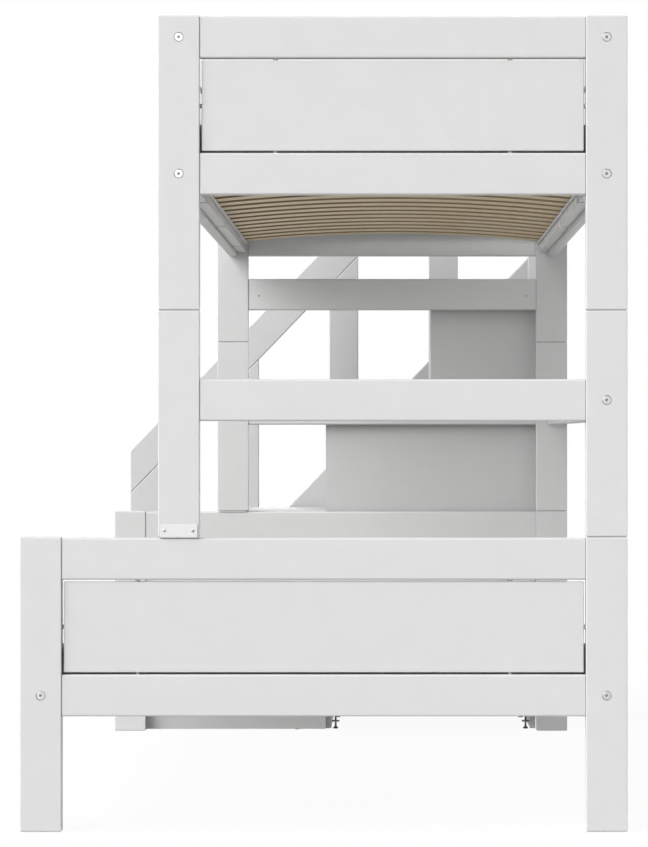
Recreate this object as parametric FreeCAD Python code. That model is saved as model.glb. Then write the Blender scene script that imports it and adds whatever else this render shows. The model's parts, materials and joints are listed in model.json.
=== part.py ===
import FreeCAD, Part
import math
import os

# Bunk bed with stairs, in millimetres, +Z up.
# X runs across the bed, from its open side to its wall side, and Y runs along it, from the
# foot end (near) to the stairs (far). The origin is on the floor, in the middle of the box.

# Bed ends and rails
lower_width = 1320.0
upper_width = 1020.0
bed_length = 2070.0
post_width = 90.0
post_thick = 30.0
post_ease = 3.0
rail_height = 91.0
rail_thick = 26.0
rail_ease = 2.0
end_height = 641.0
leg_height = 251.0
rail_drop = 2.0
panel_thick = 18.0
panel_gap = 4.5
panel_ease = 2.0
mid_post_height = 493.0
mid_rail_rise = 252.0
support_rail_rise = 93.5

# Dowels that carry the end panels and the handrail
dowel_radius = 5.0
dowel_depth = 15.0
dowel_inset = 160.0
dowel_play = 0.2

# Bed bolts, set flush in the posts
bolt_head_radius = 10.0
bolt_head_thick = 3.0
bolt_radius = 4.0
bolt_reach = 42.0
bolt_play = 0.3

# Steel pins between stacked posts, and the set screws that lock them
pin_radius = 6.0
pin_depth = 50.0
pin_play = 0.2
set_screw_inset = 37.0
set_screw_radius = 3.0
set_screw_length = 7.0
set_screw_play = 0.2

# Steel shoe under each middle post on the open side: a seat, and a plate up the post's outer face
shoe_width = 81.0
shoe_height = 31.5
shoe_thick = 2.0
shoe_screw_spacing = 62.0
shoe_screw_rise = 16.0
screw_head_radius = 4.0
screw_head_thick = 1.5
screw_radius = 2.0
screw_length = 12.0
screw_play = 0.2
support_screw_inset = 30.0

# Slatted bases and the ledgers that carry them
ledger_width = 26.0
ledger_height = 22.0
ledger_rise = 10.0
ledger_ease = 5.0
ledger_gap = 30.0
ledger_strip_shares = (0.149, 0.359, 0.368, 0.124)
slat_frame_side_gap = 5.5
slat_frame_end_gap = 7.5
slat_rail_thick = 26.0
slat_rail_height = 32.0
end_board_thick = 18.0
end_board_height = 92.0
slat_count = 16
slat_width = 75.0
slat_thick = 8.0
slat_crown = 23.0
slat_rise = 6.0
groove_depth = 10.0
groove_play = 1.0

# Guard at the upper bed's far end, beside the way in from the stairs
entry_post_width = 90.0

# Stairs
stair_play = 1.5
step_count = 4
low_step_count = 2
top_step_rise = 146.0
tread_thick = 22.0
tread_ease = 3.0
stair_width = 424.0
stair_wall_thick = 16.0
back_panel_thick = 18.0
shelf_thick = 18.0
floor_rise = 40.0
skirt_gap = 2.0
glide_radius = 8.0
glide_inset = 84.0

# Banister on the outer side of the stairs
banister_post_width = 90.0
banister_post_thick = 26.0
handrail_height = 91.0
handrail_thick = 26.0
handrail_rise = 494.5
handrail_nose_round = 20.0
stringer_height = 90.0
stringer_thick = 26.0
stringer_drop = 188.0
banister_bolt_reach = 20.0

# Levelling feet under the tall cabinet
foot_wall_gap = 12.3
foot_back_inset = 34.0
foot_row_spacing = 322.0
foot_pad_radius = 7.5
foot_pad_rim = 3.0
foot_hub_radius = 4.0
foot_hub_height = 8.0
foot_spigot_radius = 2.0
foot_spigot_depth = 4.0
foot_screw_radius = 3.0
foot_wheel_radius = 11.5
foot_wheel_thick = 3.5
foot_wheel_rise = 20.5
foot_play = 0.05
foot_travel_up = 8.0

# Small round pieces and their holes are drawn with few flats
shank_side_count = 6
head_side_count = 12

# One overrun serves every cut
overrun = 1.0
tiny = 1e-6

V = FreeCAD.Vector
AXIS_X = V(1, 0, 0)
AXIS_Y = V(0, 1, 0)
AXIS_Z = V(0, 0, 1)

# Places across the bed
lower_x = (-lower_width / 2, lower_width / 2)
upper_x = (lower_x[1] - upper_width, lower_x[1])
rail_inset = (post_width - rail_thick) / 2
dowel_length = panel_gap + 2 * dowel_depth

# Places along the bed
shoe_proud = shoe_thick + screw_head_thick
stair_depth = back_panel_thick + stair_width + banister_post_thick + stringer_thick
overall_depth = shoe_proud + bed_length + shoe_proud + stair_play + stair_depth
near_face = shoe_proud - overall_depth / 2
far_face = near_face + bed_length
between_ends = (near_face + post_thick, far_face - post_thick)
stair_back = far_face + shoe_proud + stair_play
wall_y = (stair_back + back_panel_thick, stair_back + back_panel_thick + stair_width)
banister_y = (wall_y[1], wall_y[1] + banister_post_thick)
handrail_y = (banister_y[0], banister_y[0] + handrail_thick)
stringer_y = (banister_y[1], banister_y[1] + stringer_thick)

# Heights
mid_foot = end_height
upper_foot = end_height + mid_post_height
bed_top = upper_foot + end_height
bottom_rail_z = (leg_height, leg_height + rail_height)
top_rail_z = (end_height - rail_drop - rail_height, end_height - rail_drop)
panel_z = (bottom_rail_z[1] + panel_gap, top_rail_z[0] - panel_gap)
mid_rail_z = (mid_foot + mid_rail_rise, mid_foot + mid_rail_rise + rail_height)
support_rail_z = (upper_foot + support_rail_rise, upper_foot + support_rail_rise + rail_height)

# The flight of stairs, which ends just above the feet of the upper posts
step_rise = (upper_foot + top_step_rise) / step_count
step_run = (lower_width - banister_post_width) / step_count
nosings = [lower_x[0] + step * step_run for step in range(step_count + 1)]
tread_tops = [(step + 1) * step_rise for step in range(step_count)]
slope = step_rise / step_run
plumb_share = math.sqrt(1 + slope * slope)

solids = {}


def lift(span, height):
    return (span[0] + height, span[1] + height)


def between(start, end):
    return (min(start, end), max(start, end))


def centred(centre, size):
    return (centre - size / 2, centre + size / 2)


def middle(span):
    return (span[0] + span[1]) / 2


def runs_along(edge, axis):
    ends = edge.Vertexes
    return (ends[-1].Point - ends[0].Point).cross(axis).Length < tiny


def board(x, y, z, ease=0, along=None):
    """A board between two places on each axis, with all its edges eased or those along one axis."""
    solid = Part.makeBox(x[1] - x[0], y[1] - y[0], z[1] - z[0], V(x[0], y[0], z[0]))
    if not ease:
        return solid
    edges = [edge for edge in solid.Edges if along is None or runs_along(edge, along)]
    return solid.makeChamfer(ease, edges)


def sawn_board(points, y, ease=0):
    """A board sawn to an outline in the XZ plane, with the edges of its two faces eased."""
    corners = [V(x, y[0], z) for x, z in points]
    outline = Part.makePolygon(corners + corners[:1])
    solid = Part.Face(outline).extrude(AXIS_Y * (y[1] - y[0]))
    return ease_faces(solid, ease) if ease else solid


def ease_faces(solid, ease):
    return solid.makeChamfer(ease, [edge for edge in solid.Edges if not runs_along(edge, AXIS_Y)])


def ring(radius, centre, axis, sides):
    """A closed outline of so many sides, its corners on a circle about an axis."""
    across = AXIS_X if axis.cross(AXIS_Z).Length < tiny else AXIS_Z
    other = axis.cross(across)
    corners = []
    for side in range(sides):
        turn = math.tau * side / sides
        corners.append(centre + across * (radius * math.cos(turn)) + other * (radius * math.sin(turn)))
    return Part.makePolygon(corners + corners[:1])


def rod(radius, start, axis, length, sides=shank_side_count):
    return Part.Face(ring(radius, start, axis, sides)).extrude(axis * length)


def bore(radius, start, axis, length, sides=shank_side_count):
    """A hole that clears a round rod of that radius."""
    return rod(radius / math.cos(math.pi / sides), start, axis, length, sides)


def place(name, *pieces):
    solids.setdefault(name, []).extend(pieces)


def drill(tool, *names):
    """Cut one tool out of every solid of the named nodes."""
    for name in names:
        solids[name] = [part for solid in solids[name] for part in solid.cut(tool).Solids]


def end_unit(name, x, foot, outer, inward):
    """One bed end: two posts, a top and a bottom rail between them, and a panel on dowels."""
    post_y = between(outer, outer + inward * post_thick)
    rail_y = centred(middle(post_y), rail_thick)
    panel_y = centred(middle(post_y), panel_thick)
    post_z = (foot, foot + end_height)
    inner_x = (x[0] + post_width, x[1] - post_width)
    place(name + "_post_left", board((x[0], inner_x[0]), post_y, post_z, post_ease))
    place(name + "_post_right", board((inner_x[1], x[1]), post_y, post_z, post_ease))
    for rail_z in (bottom_rail_z, top_rail_z):
        place(name + "_rails", board(inner_x, rail_y, lift(rail_z, foot), rail_ease, AXIS_X))
    panel_x = (inner_x[0] + panel_gap, inner_x[1] - panel_gap)
    place(name + "_panel", board(panel_x, panel_y, lift(panel_z, foot), panel_ease))
    dowel_panel(name + "_panel", AXIS_X, panel_x, AXIS_Y * middle(panel_y), lift(panel_z, foot),
                name + "_rails", name + "_rails", name + "_post_left", name + "_post_right")


def dowel(start, axis, *names):
    """A dowel and its holes in the named nodes."""
    place("dowels", rod(dowel_radius, start, axis, dowel_length))
    hole_start = start - axis * dowel_play
    drill(bore(dowel_radius + dowel_play, hole_start, axis, dowel_length + 2 * dowel_play), *names)


def dowel_panel(panel, along, span, seat, z, below, above, first, last):
    """Hang a panel on two dowels below and above and on one at each end. It spans so far along
    one axis, and its seat is its place on the other two."""
    places = []
    for run in (span[0] + dowel_inset, span[1] - dowel_inset):
        places.append((seat + along * run + AXIS_Z * (z[0] + dowel_depth), -AXIS_Z, below))
        places.append((seat + along * run + AXIS_Z * (z[1] - dowel_depth), AXIS_Z, above))
    places.append((seat + along * (span[0] + dowel_depth) + AXIS_Z * middle(z), -along, first))
    places.append((seat + along * (span[1] - dowel_depth) + AXIS_Z * middle(z), along, last))
    for start, axis, carrier in places:
        dowel(start, axis, panel, carrier)


def bed_bolt(face, axis, reach, *names):
    """A bolt from a face inwards along Y, its head flush in a counterbore, and its bored holes."""
    head = rod(bolt_head_radius, face, axis, bolt_head_thick, head_side_count)
    shank = rod(bolt_radius, face, axis, reach)
    place("bed_bolts", head.fuse(shank).removeSplitter().Solids[0])
    counterbore = bore(bolt_head_radius + bolt_play, face - axis * overrun, axis,
                       bolt_head_thick + overrun, head_side_count)
    drill(counterbore.fuse(bore(bolt_radius + bolt_play, face, axis, reach + bolt_play)), *names)


def post_pin(x, y, z, lower, upper):
    """A steel pin across the joint between two stacked posts."""
    start = V(x, y, z - pin_depth)
    place("post_pins", rod(pin_radius, start, AXIS_Z, 2 * pin_depth))
    hole_start = start - AXIS_Z * pin_play
    drill(bore(pin_radius + pin_play, hole_start, AXIS_Z, 2 * pin_depth + 2 * pin_play), lower, upper)


def set_screw(face, axis, name):
    place("screws", rod(set_screw_radius, face, axis, set_screw_length))
    start = face - axis * overrun
    length = set_screw_length + set_screw_play + overrun
    drill(bore(set_screw_radius + set_screw_play, start, axis, length), name)


def head_screw(face, axis, length, *names):
    """A round-headed screw that stands on a face and runs inwards along its axis."""
    head = rod(screw_head_radius, face - axis * screw_head_thick, axis, screw_head_thick, head_side_count)
    shank = rod(screw_radius, face, axis, length)
    place("screws", head.fuse(shank).removeSplitter().Solids[0])
    hole_length = length + screw_play + overrun
    drill(bore(screw_radius + screw_play, face - axis * overrun, axis, hole_length), *names)


# The lower bed's two ends, and the upper bed's near end
ends_y = (("near", near_face, 1), ("far", far_face, -1))
for end_name, outer, inward in ends_y:
    end_unit("lower_" + end_name, lower_x, 0, outer, inward)
end_unit("upper_near", upper_x, upper_foot, near_face, 1)

# The upper bed's far end: a bottom rail all across, and a guard that leaves a way in
far_post_y = (far_face - post_thick, far_face)
far_rail_y = centred(middle(far_post_y), rail_thick)
far_panel_y = centred(middle(far_post_y), panel_thick)
upper_post_z = (upper_foot, bed_top)
upper_inner_x = (upper_x[0] + post_width, upper_x[1] - post_width)
entry_x = (nosings[step_count - 1], nosings[step_count])
entry_post_x = (entry_x[0] - entry_post_width, entry_x[0])
guard_x = (upper_inner_x[0], entry_post_x[0])
upper_rail_z = lift(bottom_rail_z, upper_foot)
guard_rail_z = lift(top_rail_z, upper_foot)
guard_panel_z = lift(panel_z, upper_foot)
guard_panel_x = (guard_x[0] + panel_gap, guard_x[1] - panel_gap)
place("upper_far_post_left",
      board((upper_x[0], upper_inner_x[0]), far_post_y, upper_post_z, post_ease))
place("upper_far_post_right",
      board((upper_inner_x[1], upper_x[1]), far_post_y, upper_post_z, post_ease))
place("upper_far_bottom_rail", board(upper_inner_x, far_rail_y, upper_rail_z, rail_ease, AXIS_X))
place("far_guard_post",
      board(entry_post_x, far_post_y, (upper_rail_z[1], bed_top), rail_ease, AXIS_Z))
place("far_guard_rail", board(guard_x, far_rail_y, guard_rail_z, rail_ease, AXIS_X))
place("far_guard_panel", board(guard_panel_x, far_panel_y, guard_panel_z, panel_ease))
dowel_panel("far_guard_panel", AXIS_X, guard_panel_x, AXIS_Y * middle(far_panel_y), guard_panel_z,
            "upper_far_bottom_rail", "far_guard_rail", "upper_far_post_left", "far_guard_post")
place("stair_support_rail", board(upper_inner_x, far_rail_y, support_rail_z, rail_ease, AXIS_X))

# Middle posts: on the wall side they stand on the lower posts, on the open side in a steel
# shoe on the lower end's top rail
mid_post_top = upper_foot
left_post_x = (upper_x[0], upper_inner_x[0])
right_post_x = (upper_inner_x[1], upper_x[1])
shoe_foot = top_rail_z[1]
shoe_x = centred(middle(left_post_x), shoe_width)
for end_name, outer, inward in ends_y:
    post_y = between(outer, outer + inward * post_thick)
    rail_y = centred(middle(post_y), rail_thick)
    left_post = end_name + "_mid_post_left"
    right_post = end_name + "_mid_post_right"
    left_post_z = (shoe_foot + shoe_thick, mid_post_top)
    place(left_post, board(left_post_x, post_y, left_post_z, post_ease))
    place(right_post, board(right_post_x, post_y, (mid_foot, mid_post_top), post_ease))
    place("end_mid_rails", board(upper_inner_x, rail_y, mid_rail_z, rail_ease, AXIS_X))
    shoe_face = outer - inward * shoe_thick
    plate = board(shoe_x, between(shoe_face, outer), (shoe_foot, shoe_foot + shoe_height))
    seat = board(shoe_x, between(outer, outer + inward * post_thick), (shoe_foot, shoe_foot + shoe_thick))
    place("post_shoes", plate.fuse(seat).removeSplitter().Solids[0])
    for screw_x in centred(middle(shoe_x), shoe_screw_spacing):
        face = V(screw_x, shoe_face, shoe_foot + shoe_screw_rise)
        head_screw(face, AXIS_Y * inward, screw_length, "post_shoes", left_post)
    pin_y = middle(post_y)
    post_pin(middle(right_post_x), pin_y, mid_foot, "lower_" + end_name + "_post_right", right_post)
    post_pin(middle(right_post_x), pin_y, mid_post_top, right_post, "upper_" + end_name + "_post_right")
    post_pin(middle(left_post_x), pin_y, mid_post_top, left_post, "upper_" + end_name + "_post_left")
    inner_y = outer + inward * post_thick
    set_screw(V(middle(right_post_x), inner_y, mid_foot + set_screw_inset), AXIS_Y * -inward, right_post)
    for post_x, name in ((left_post_x, left_post), (right_post_x, right_post)):
        set_screw(V(middle(post_x), inner_y, mid_post_top - set_screw_inset), AXIS_Y * -inward, name)

# Long rails between the ends, on the middle of the posts' width, each held by a bolt at each end
long_rails = (
    ("lower_side_rail_left", lower_x[0], bottom_rail_z, "lower", "left"),
    ("lower_side_rail_right", lower_x[1] - post_width, bottom_rail_z, "lower", "right"),
    ("wall_mid_rail", upper_x[1] - post_width, mid_rail_z, "mid", "right"),
    ("upper_side_rail_left", upper_x[0], upper_rail_z, "upper", "left"),
    ("upper_side_rail_right", upper_x[1] - post_width, upper_rail_z, "upper", "right"),
    ("guard_rails", upper_x[0], guard_rail_z, "upper", "left"),
    ("guard_rails", upper_x[1] - post_width, guard_rail_z, "upper", "right"),
)
for name, post_edge, rail_z, level, side in long_rails:
    rail_x = (post_edge + rail_inset, post_edge + rail_inset + rail_thick)
    place(name, board(rail_x, between_ends, rail_z, rail_ease, AXIS_Y))
    for end_name, outer, inward in ends_y:
        post_names = {
            "lower": "lower_" + end_name + "_post_" + side,
            "mid": end_name + "_mid_post_" + side,
            "upper": "upper_" + end_name + "_post_" + side,
        }
        face = V(middle(rail_x), outer, middle(rail_z))
        bed_bolt(face, AXIS_Y * inward, post_thick + bolt_reach, post_names[level], name)

# Guard panels on the upper bed's long sides, on dowels like the panels of the ends
side_panel_y = (between_ends[0] + panel_gap, between_ends[1] - panel_gap)
for side, post_x in (("left", left_post_x), ("right", right_post_x)):
    side_panel_x = centred(middle(post_x), panel_thick)
    place("guard_panels", board(side_panel_x, side_panel_y, guard_panel_z, panel_ease))
    dowel_panel("guard_panels", AXIS_Y, side_panel_y, AXIS_X * middle(post_x), guard_panel_z,
                "upper_side_rail_" + side, "guard_rails", "upper_near_post_" + side, "upper_far_post_" + side)


def slatted_base(name, x, rail_foot):
    """Ledgers on the side rails, on them a frame in two halves, with crowned slats that end in a groove
    of the frame's rails, and a board that stands on the rails at each end."""
    side_x = (x[0] + rail_inset + rail_thick, x[1] - rail_inset - rail_thick)
    ledger_z = (rail_foot + ledger_rise, rail_foot + ledger_rise + ledger_height)
    for ledger_x in ((side_x[0], side_x[0] + ledger_width), (side_x[1] - ledger_width, side_x[1])):
        strip_start = between_ends[0]
        for share in ledger_strip_shares:
            strip_end = strip_start + share * (between_ends[1] - between_ends[0])
            strip_y = (strip_start + ledger_gap / 2, strip_end - ledger_gap / 2)
            place("slat_ledgers", board(ledger_x, strip_y, ledger_z, ledger_ease, AXIS_Z))
            strip_start = strip_end
    frame_x = (side_x[0] + slat_frame_side_gap, side_x[1] - slat_frame_side_gap)
    frame_y = (between_ends[0] + slat_frame_end_gap, between_ends[1] - slat_frame_end_gap)
    frame_z = (ledger_z[1], ledger_z[1] + slat_rail_height)
    inner_x = (frame_x[0] + slat_rail_thick, frame_x[1] - slat_rail_thick)
    slat_foot = frame_z[0] + slat_rise
    groove = board((inner_x[0] - groove_depth, inner_x[1] + groove_depth), frame_y,
                   (slat_foot, slat_foot + slat_thick + 2 * groove_play))
    for half_y in ((frame_y[0], middle(frame_y)), (middle(frame_y), frame_y[1])):
        for rail_x in ((frame_x[0], inner_x[0]), (inner_x[1], frame_x[1])):
            rail = board(rail_x, half_y, frame_z, rail_ease, AXIS_Y)
            place(name + "_slat_frame", rail.cut(groove).Solids[0])
    end_board_z = (frame_z[1], frame_z[1] + end_board_height)
    near_board_y = (frame_y[0], frame_y[0] + end_board_thick)
    far_board_y = (frame_y[1] - end_board_thick, frame_y[1])
    for board_y in (near_board_y, far_board_y):
        place(name + "_slat_frame", board(frame_x, board_y, end_board_z, rail_ease, AXIS_X))
    slat_x = (inner_x[0] - groove_depth + groove_play, inner_x[1] + groove_depth - groove_play)
    slats_y = (near_board_y[1], far_board_y[0])
    pitch = (slats_y[1] - slats_y[0]) / slat_count
    for index in range(slat_count):
        slat_y = slats_y[0] + (index + 0.5) * pitch
        place(name + "_slats", crowned_slat(slat_x, slat_y - slat_width / 2, slat_foot))


def crowned_slat(x, y, foot):
    """A bent slat: two like arcs, one slat thickness apart, drawn out to the slat's width."""
    arcs = []
    for low in (foot, foot + slat_thick):
        crest = V(middle(x), y, low + slat_crown)
        arcs.append(Part.Arc(V(x[0], y, low), crest, V(x[1], y, low)).toShape())
    sides = [Part.makeLine(V(side, y, foot), V(side, y, foot + slat_thick)) for side in x]
    outline = Part.Wire(Part.__sortEdges__(arcs + sides))
    return Part.Face(outline).extrude(AXIS_Y * slat_width)


slatted_base("lower", lower_x, bottom_rail_z[0])
slatted_base("upper", upper_x, upper_rail_z[0])

# Stair walls, which are the risers too, and the treads that lie on them
tread_floors = [top - tread_thick for top in tread_tops]
floor_z = (floor_rise, floor_rise + shelf_thick)
cabinet_x = (nosings[low_step_count], nosings[step_count])
end_wall_x = (cabinet_x[1] - stair_wall_thick, cabinet_x[1])
wall_faces = []
for step in range(step_count):
    wall_x = (nosings[step], nosings[step] + stair_wall_thick)
    wall_foot = floor_z[1] if step > low_step_count else skirt_gap
    wall_faces.append(wall_x)
    place("stair_walls", board(wall_x, wall_y, (wall_foot, tread_floors[step])))
    tread_x = (nosings[step], nosings[step + 1])
    tread_z = (tread_floors[step], tread_tops[step])
    tread = board(tread_x, (stair_back, wall_y[1]), tread_z)
    nosing_edges = [edge for edge in tread.Edges
                    if runs_along(edge, AXIS_Y) and edge.BoundBox.XMax - tread_x[0] < tiny]
    place("stair_treads", tread.makeChamfer(tread_ease, nosing_edges))
place("stair_walls", board(end_wall_x, wall_y, (skirt_gap, tread_floors[-1])))
wall_faces.append(end_wall_x)

# Back panels towards the bed, sawn in steps, one for the low and one for the tall part
panel_y = (stair_back, stair_back + back_panel_thick)
for name, first, last, foot in (
    ("low_back_panel", 0, low_step_count, skirt_gap),
    ("tall_back_panel", low_step_count, step_count, floor_z[0]),
):
    outline = [(nosings[last], foot), (nosings[first], foot)]
    for step in range(first, last):
        outline.append((nosings[step], tread_floors[step]))
        outline.append((nosings[step + 1], tread_floors[step]))
    place(name, sawn_board(outline, panel_y))

# Floors and shelves between the walls, at the levels of the treads beside them
for step in range(step_count):
    shelf_x = (wall_faces[step][1], wall_faces[step + 1][0])
    levels = [top for top in tread_tops[1:] if top < tread_tops[step]]
    if step < low_step_count:
        levels = [floor_z[1]]
    for level in levels:
        place("stair_shelves", board(shelf_x, wall_y, (level - shelf_thick, level)))
cabinet_floor_x = (wall_faces[low_step_count][1], end_wall_x[0])
place("cabinet_floor", board(cabinet_floor_x, wall_y, floor_z))

# Glides under the low part
low_panel_x = (nosings[0], nosings[low_step_count])
glide_places = [(x, middle(panel_y)) for x in (low_panel_x[0] + glide_inset, low_panel_x[1] - glide_inset)]
for wall_x in wall_faces[:low_step_count]:
    glide_places.append((middle(wall_x), wall_y[1] - glide_inset))
for glide_x, glide_y in glide_places:
    place("glides", rod(glide_radius, V(glide_x, glide_y, 0), AXIS_Z, skirt_gap, head_side_count))

# Lines of the banister along the flight
handrail_plumb = handrail_height * plumb_share
stringer_plumb = stringer_height * plumb_share


def nosing_line(x):
    return step_rise + (x - lower_x[0]) * slope


def handrail_foot(x):
    return min(nosing_line(x) + handrail_rise - handrail_plumb, mitre_low_z)


# Handrail up the flight, mitred to the level rail beside the top step
mitre_top_x = lower_x[0] + (bed_top - handrail_rise - step_rise) / slope
mitre_low_z = bed_top - handrail_height
mitre_low_x = lower_x[0] + (mitre_low_z - handrail_rise + handrail_plumb - step_rise) / slope
handrail_start = nosing_line(lower_x[0]) + handrail_rise
handrail = sawn_board([
    (lower_x[0], handrail_start - handrail_plumb),
    (lower_x[0], handrail_start),
    (mitre_top_x, bed_top),
    (mitre_low_x, mitre_low_z),
], handrail_y)
nose = [edge for edge in handrail.Edges
        if runs_along(edge, AXIS_Y) and edge.BoundBox.XMax - lower_x[0] < tiny
        and abs(edge.BoundBox.ZMax - handrail_start) < tiny]
place("handrail", ease_faces(handrail.makeFillet(handrail_nose_round, nose), rail_ease))
place("landing_rail", sawn_board([
    (mitre_low_x, mitre_low_z),
    (mitre_top_x, bed_top),
    (lower_x[1], bed_top),
    (lower_x[1], mitre_low_z),
], handrail_y, rail_ease))

# Banister posts on the outer edge of the walls, sawn to fit under the handrail and dowelled to it
for step in range(step_count + 1):
    post_x = (nosings[step], nosings[step] + banister_post_width)
    stands_on_floor = step in (0, step_count)
    post_foot = 0 if stands_on_floor else tread_tops[step - 1]
    outline = [(post_x[1], post_foot), (post_x[0], post_foot), (post_x[0], handrail_foot(post_x[0]))]
    if post_x[0] < mitre_low_x < post_x[1]:
        outline.append((mitre_low_x, mitre_low_z))
    outline.append((post_x[1], handrail_foot(post_x[1])))
    place("banister_posts", sawn_board(outline, banister_y, rail_ease))
    dowel_foot = handrail_foot(middle(post_x)) - dowel_length / 2
    dowel(V(middle(post_x), middle(banister_y), dowel_foot), AXIS_Z,
          "banister_posts", "handrail", "landing_rail")

# Stringer on the posts' outer faces, from the floor to the last post
stringer_low = nosing_line(lower_x[0]) - stringer_drop - stringer_plumb
stringer_heel_x = lower_x[0] + max(skirt_gap - stringer_low, 0) / slope
stringer_end = nosing_line(lower_x[1]) - stringer_drop
place("stair_stringer", sawn_board([
    (stringer_heel_x, max(stringer_low, skirt_gap)),
    (lower_x[0], max(stringer_low, skirt_gap)),
    (lower_x[0], nosing_line(lower_x[0]) - stringer_drop),
    (lower_x[1], stringer_end),
    (lower_x[1], stringer_end - stringer_plumb),
], stringer_y, rail_ease))

# Bolts of the stringer, from its outer side
for step in range(step_count + 1):
    bolt_x = nosings[step] + banister_post_width / 2
    stringer_middle = nosing_line(bolt_x) - stringer_drop - stringer_plumb / 2
    bed_bolt(V(bolt_x, stringer_y[1], stringer_middle), -AXIS_Y,
             stringer_thick + banister_bolt_reach, "stair_stringer", "banister_posts")

# Screws through the stair support rail, the wall-side one into the top tread's edge
support_inner_y = far_rail_y[0]
support_screw_z = middle((tread_floors[-1], tread_tops[-1]))
into_tread = rail_thick + (stair_back - far_rail_y[1]) + screw_length
for screw_x, length, names in (
    (upper_inner_x[0] + support_screw_inset, screw_length, ("stair_support_rail",)),
    (upper_inner_x[1] - support_screw_inset, into_tread, ("stair_support_rail", "stair_treads")),
):
    head_screw(V(screw_x, support_inner_y, support_screw_z), AXIS_Y, length, *names)

# Levelling feet: a pad that stays square, and a screw with a hand wheel that turns in it
foot_x = (cabinet_floor_x[0] + foot_wall_gap, cabinet_floor_x[1] - foot_wall_gap)
foot_y = (stair_back + foot_back_inset, stair_back + foot_back_inset + foot_row_spacing)
foot_places = [(x, y) for y in foot_y for x in foot_x]
screw_top = floor_z[1] - foot_travel_up
for index, (x, y) in enumerate(foot_places, 1):
    disc = rod(foot_pad_radius, V(x, y, 0), AXIS_Z, foot_pad_rim, head_side_count)
    hub = rod(foot_hub_radius, V(x, y, 0), AXIS_Z, foot_hub_height, head_side_count)
    socket_foot = foot_hub_height - foot_spigot_depth
    socket = bore(foot_spigot_radius + foot_play, V(x, y, socket_foot), AXIS_Z, foot_spigot_depth + overrun)
    place("foot_pad_" + str(index), disc.fuse(hub).removeSplitter().cut(socket).Solids[0])
    stem_foot = foot_hub_height + foot_play
    spigot_foot = socket_foot + foot_play
    spigot = rod(foot_spigot_radius, V(x, y, spigot_foot), AXIS_Z, stem_foot - spigot_foot + overrun)
    stem = rod(foot_screw_radius, V(x, y, stem_foot), AXIS_Z, screw_top - stem_foot)
    wheel = rod(foot_wheel_radius, V(x, y, foot_wheel_rise), AXIS_Z, foot_wheel_thick, head_side_count)
    place("foot_screw_" + str(index), stem.fuse([spigot, wheel]).removeSplitter().Solids[0])
    drill(bore(foot_screw_radius + foot_play, V(x, y, floor_z[0] - overrun), AXIS_Z,
               shelf_thick + 2 * overrun, head_side_count), "cabinet_floor")

# One file for each named piece or group of like pieces
os.makedirs("parts", exist_ok=True)
for name, pieces in solids.items():
    shape = pieces[0] if len(pieces) == 1 else Part.makeCompound(pieces)
    shape.exportStep("parts/" + name + ".step")
    volume = sum(piece.Volume for piece in pieces)
    print(name, len(pieces), "solids", round(volume / 1e3, 1), "cm3", shape.isValid())
print(len(solids), "nodes", sum(len(pieces) for pieces in solids.values()), "solids")
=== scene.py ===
# %% [markdown]
# # A white bunk bed with storage stairs
# The real bed is a kit of planed and lacquered boards: three bed ends, posts that stand on each
# other, long rails held by flush bolts, two slatted bases, and a chest of steps with a banister.
# The frame that is loaded here holds every board at its true size and place, with plain edges.
# This lesson gives each board its rounded edges, its fittings their real shape, and everything
# its finish. Nothing is moved: each new piece is measured off the frame and stands where it stands.

# %% The frame
import bpy
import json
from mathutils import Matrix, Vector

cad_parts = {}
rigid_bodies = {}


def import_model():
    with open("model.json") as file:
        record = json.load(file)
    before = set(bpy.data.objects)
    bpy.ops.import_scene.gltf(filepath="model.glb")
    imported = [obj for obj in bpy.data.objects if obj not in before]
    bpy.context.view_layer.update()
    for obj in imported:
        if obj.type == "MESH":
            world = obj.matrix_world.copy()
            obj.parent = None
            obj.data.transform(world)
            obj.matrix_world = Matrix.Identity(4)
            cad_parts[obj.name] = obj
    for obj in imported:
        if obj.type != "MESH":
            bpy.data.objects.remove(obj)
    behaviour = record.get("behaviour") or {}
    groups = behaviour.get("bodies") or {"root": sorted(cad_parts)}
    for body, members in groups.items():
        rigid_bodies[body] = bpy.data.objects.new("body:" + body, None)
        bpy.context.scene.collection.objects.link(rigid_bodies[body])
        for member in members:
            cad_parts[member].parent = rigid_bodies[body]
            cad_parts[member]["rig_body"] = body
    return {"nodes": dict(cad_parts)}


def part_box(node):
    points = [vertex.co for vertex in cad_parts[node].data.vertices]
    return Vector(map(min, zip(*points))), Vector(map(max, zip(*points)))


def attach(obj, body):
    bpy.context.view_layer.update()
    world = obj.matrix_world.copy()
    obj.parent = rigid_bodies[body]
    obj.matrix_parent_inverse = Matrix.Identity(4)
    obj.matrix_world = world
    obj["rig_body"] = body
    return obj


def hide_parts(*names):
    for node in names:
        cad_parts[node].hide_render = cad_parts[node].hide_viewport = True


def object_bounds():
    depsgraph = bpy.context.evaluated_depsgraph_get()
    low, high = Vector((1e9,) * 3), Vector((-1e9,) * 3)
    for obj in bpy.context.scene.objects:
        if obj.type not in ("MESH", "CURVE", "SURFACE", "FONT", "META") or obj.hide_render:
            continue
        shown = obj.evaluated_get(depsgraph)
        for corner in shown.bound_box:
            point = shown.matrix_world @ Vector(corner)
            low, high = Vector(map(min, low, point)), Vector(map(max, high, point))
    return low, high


for starter in list(bpy.data.objects):
    bpy.data.objects.remove(starter)
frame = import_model()
frame_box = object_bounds()
scene = bpy.context.scene

# %% [markdown]
# ## The camera
# The picture looks straight along the bed from its foot end, a little right of the middle and at
# half the bed's height. All lines along the bed run to one vanishing point, which isn't in the
# middle of the picture. Turning the camera would bend the upright posts apart, so it looks
# level and the picture plane is shifted instead, as on a view camera.

# %% Camera
import math

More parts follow.
